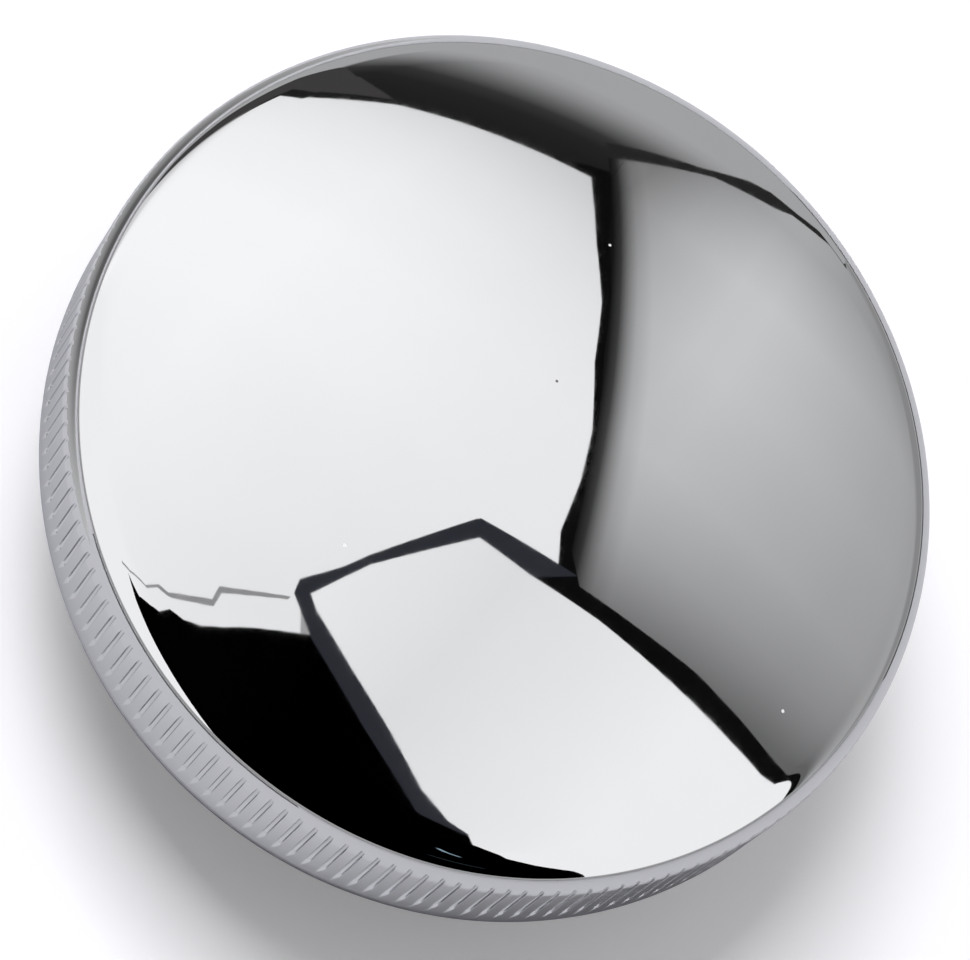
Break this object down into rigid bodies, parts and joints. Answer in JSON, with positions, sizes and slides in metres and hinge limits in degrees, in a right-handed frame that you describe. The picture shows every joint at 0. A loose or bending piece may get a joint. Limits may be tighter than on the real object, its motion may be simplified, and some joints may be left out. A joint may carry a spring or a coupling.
{
  "type": "fuel tank cap",
  "caption": "Domed chrome fuel tank cap with a finely grooved skirt, a ratcheting threaded plug, a neck gasket and a pressure and vacuum vent valve.",
  "frame": {"origin": "on the cap's axis, in the plane of the neck gasket's underside, where the cap seats on the filler neck", "axes": "+Z along the cap's axis, out of the tank, towards the dome"},
  "size_m": [0.084, 0.084, 0.0398],
  "materials": {
    "chrome_cover": "mirror polished",
    "black_moulding": "fine moulded grain",
    "plug_moulding": "moulded, slightly shiny",
    "natural_moulding": "natural acetal",
    "black_rubber": "matt fuel-proof rubber",
    "spring_steel": "bright drawn",
    "plated_steel": "zinc plated",
    "turned_brass": "turned",
    "filter_felt": "pressed felt"
  },
  "bodies": {
    "plug": {"threaded_plug": "plug_moulding", "neck_gasket": "black_rubber", "vent_filter": "filter_felt", "baffle_plate": "plated_steel", "valve_housing": "natural_moulding", "housing_seal": "black_rubber", "housing_screws": "plated_steel", "ball_cage": "turned_brass", "pressure_spring": "spring_steel"},
    "cover": {"cover_shell": "chrome_cover", "driver_plate": "black_moulding", "retaining_ring": "black_moulding", "thrust_washer": "spring_steel", "wave_spring": "spring_steel"},
    "ratchet": {"ratchet_ring": "natural_moulding"},
    "pressure_valve": {"pressure_plate": "turned_brass", "pressure_seal": "black_rubber", "vacuum_spring": "spring_steel"},
    "vacuum_valve": {"vacuum_poppet": "turned_brass", "vacuum_seal": "black_rubber", "stem_clip": "spring_steel"},
    "ball": {"rollover_ball": "spring_steel"}
  },
  "joints": [
    {"name": "cover_turn", "type": "hinge", "parent": "plug", "child": "cover", "pos_m": [0, 0, 0], "axis": [0, 0, 1], "range_deg": [-13.5, 0], "stiffness_Nm_per_rad": 1.5, "springref_deg": 5.73},
    {"name": "ratchet_lift", "type": "slide", "parent": "cover", "child": "ratchet", "axis": [0, 0, 1], "range_m": [0, 0.0011], "deforming": ["wave_spring"]},
    {"name": "pressure_relief", "type": "slide", "parent": "plug", "child": "pressure_valve", "axis": [0, 0, 1], "range_m": [0, 0.002], "stiffness_N_per_m": 400, "springref_m": -0.004, "deforming": ["pressure_spring"]},
    {"name": "vacuum_relief", "type": "slide", "parent": "pressure_valve", "child": "vacuum_valve", "axis": [0, 0, -1], "range_m": [0, 0.0015], "stiffness_N_per_m": 60, "springref_m": -0.002, "deforming": ["vacuum_spring"]},
    {"name": "ball_float", "type": "slide", "parent": "plug", "child": "ball", "axis": [0, 0, 1], "range_m": [0, 0.0012]}
  ],
  "couplings": [
    {"joint": "ratchet_lift", "follows": "cover_turn", "m_per_rad": -0.0045837}
  ]
}
